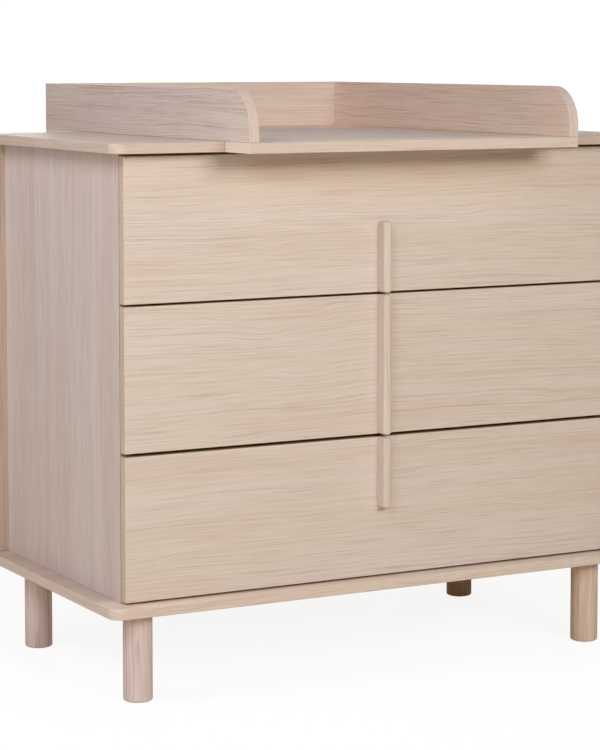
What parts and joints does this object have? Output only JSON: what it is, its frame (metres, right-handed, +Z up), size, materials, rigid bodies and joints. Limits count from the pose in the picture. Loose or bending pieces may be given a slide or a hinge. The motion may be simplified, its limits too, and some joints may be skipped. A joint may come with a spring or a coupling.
{
  "type": "changing table",
  "caption": "Changing table: chest with overlay drawers on round legs and a lift-off changing unit with raised sides and back.",
  "frame": {"origin": "on the floor, under the middle of the object's outline seen from above", "axes": "+Z up; the drawers open towards -Y, so the front faces -Y; +X is to the right seen from the front"},
  "size_m": [1.05, 0.858, 1.029],
  "materials": {
    "oak_board": "matt pale oak veneer",
    "solid_oak": "matt pale solid oak",
    "drawer_box": "matt pale board",
    "beech": "plain beech dowel",
    "steel": "zinc plated",
    "felt": "felt pad"
  },
  "bodies": {
    "carcass": {"base_board": "oak_board", "top_board": "oak_board", "side_panel_left": "oak_board", "side_panel_right": "oak_board", "back_panel": "oak_board", "front_rail": "oak_board", "leg_front_left": "solid_oak", "leg_front_right": "solid_oak", "leg_rear_left": "solid_oak", "leg_rear_right": "solid_oak", "leg_glides": "felt", "leg_bolts": "steel", "leg_inserts": "steel", "carcass_dowels": "beech", "cam_locks": "steel", "cam_bolts": "steel", "back_screws": "steel", "locating_dowels": "beech", "upper_runner_cabinet": "steel", "centre_runner_cabinet": "steel", "lower_runner_cabinet": "steel", "runner_screws": "steel"},
    "upper_drawer": {"upper_drawer_front": "oak_board", "upper_drawer_handle": "solid_oak", "upper_drawer_side_left": "drawer_box", "upper_drawer_side_right": "drawer_box", "upper_drawer_back": "drawer_box", "upper_drawer_bottom": "drawer_box", "upper_drawer_runners": "steel", "upper_drawer_screws": "steel", "upper_drawer_dowels": "beech"},
    "centre_drawer": {"centre_drawer_front": "oak_board", "centre_drawer_handle": "solid_oak", "centre_drawer_side_left": "drawer_box", "centre_drawer_side_right": "drawer_box", "centre_drawer_back": "drawer_box", "centre_drawer_bottom": "drawer_box", "centre_drawer_runners": "steel", "centre_drawer_screws": "steel", "centre_drawer_dowels": "beech"},
    "lower_drawer": {"lower_drawer_front": "oak_board", "lower_drawer_handle": "solid_oak", "lower_drawer_side_left": "drawer_box", "lower_drawer_side_right": "drawer_box", "lower_drawer_back": "drawer_box", "lower_drawer_bottom": "drawer_box", "lower_drawer_runners": "steel", "lower_drawer_screws": "steel", "lower_drawer_dowels": "beech"},
    "upper_runner": {"upper_runner_middle": "steel"},
    "centre_runner": {"centre_runner_middle": "steel"},
    "lower_runner": {"lower_runner_middle": "steel"},
    "changing_unit": {"unit_side_left": "oak_board", "unit_side_right": "oak_board", "unit_back": "oak_board", "unit_front_board": "oak_board", "unit_rear_board": "oak_board", "unit_screws": "steel", "unit_dowels": "beech"}
  },
  "joints": [
    {"name": "upper_drawer_slide", "type": "slide", "parent": "carcass", "child": "upper_drawer", "axis": [0, -1, 0], "range_m": [0, 0.4]},
    {"name": "centre_drawer_slide", "type": "slide", "parent": "carcass", "child": "centre_drawer", "axis": [0, -1, 0], "range_m": [0, 0.4]},
    {"name": "lower_drawer_slide", "type": "slide", "parent": "carcass", "child": "lower_drawer", "axis": [0, -1, 0], "range_m": [0, 0.4]},
    {"name": "upper_runner_slide", "type": "slide", "parent": "carcass", "child": "upper_runner", "axis": [0, -1, 0], "range_m": [0, 0.2]},
    {"name": "centre_runner_slide", "type": "slide", "parent": "carcass", "child": "centre_runner", "axis": [0, -1, 0], "range_m": [0, 0.2]},
    {"name": "lower_runner_slide", "type": "slide", "parent": "carcass", "child": "lower_runner", "axis": [0, -1, 0], "range_m": [0, 0.2]},
    {"name": "changing_unit_lift", "type": "slide", "parent": "carcass", "child": "changing_unit", "axis": [0, 0, 1], "range_m": [0, 0.1]}
  ],
  "couplings": [
    {"joint": "upper_runner_slide", "follows": "upper_drawer_slide", "ratio": 0.5},
    {"joint": "centre_runner_slide", "follows": "centre_drawer_slide", "ratio": 0.5},
    {"joint": "lower_runner_slide", "follows": "lower_drawer_slide", "ratio": 0.5}
  ]
}
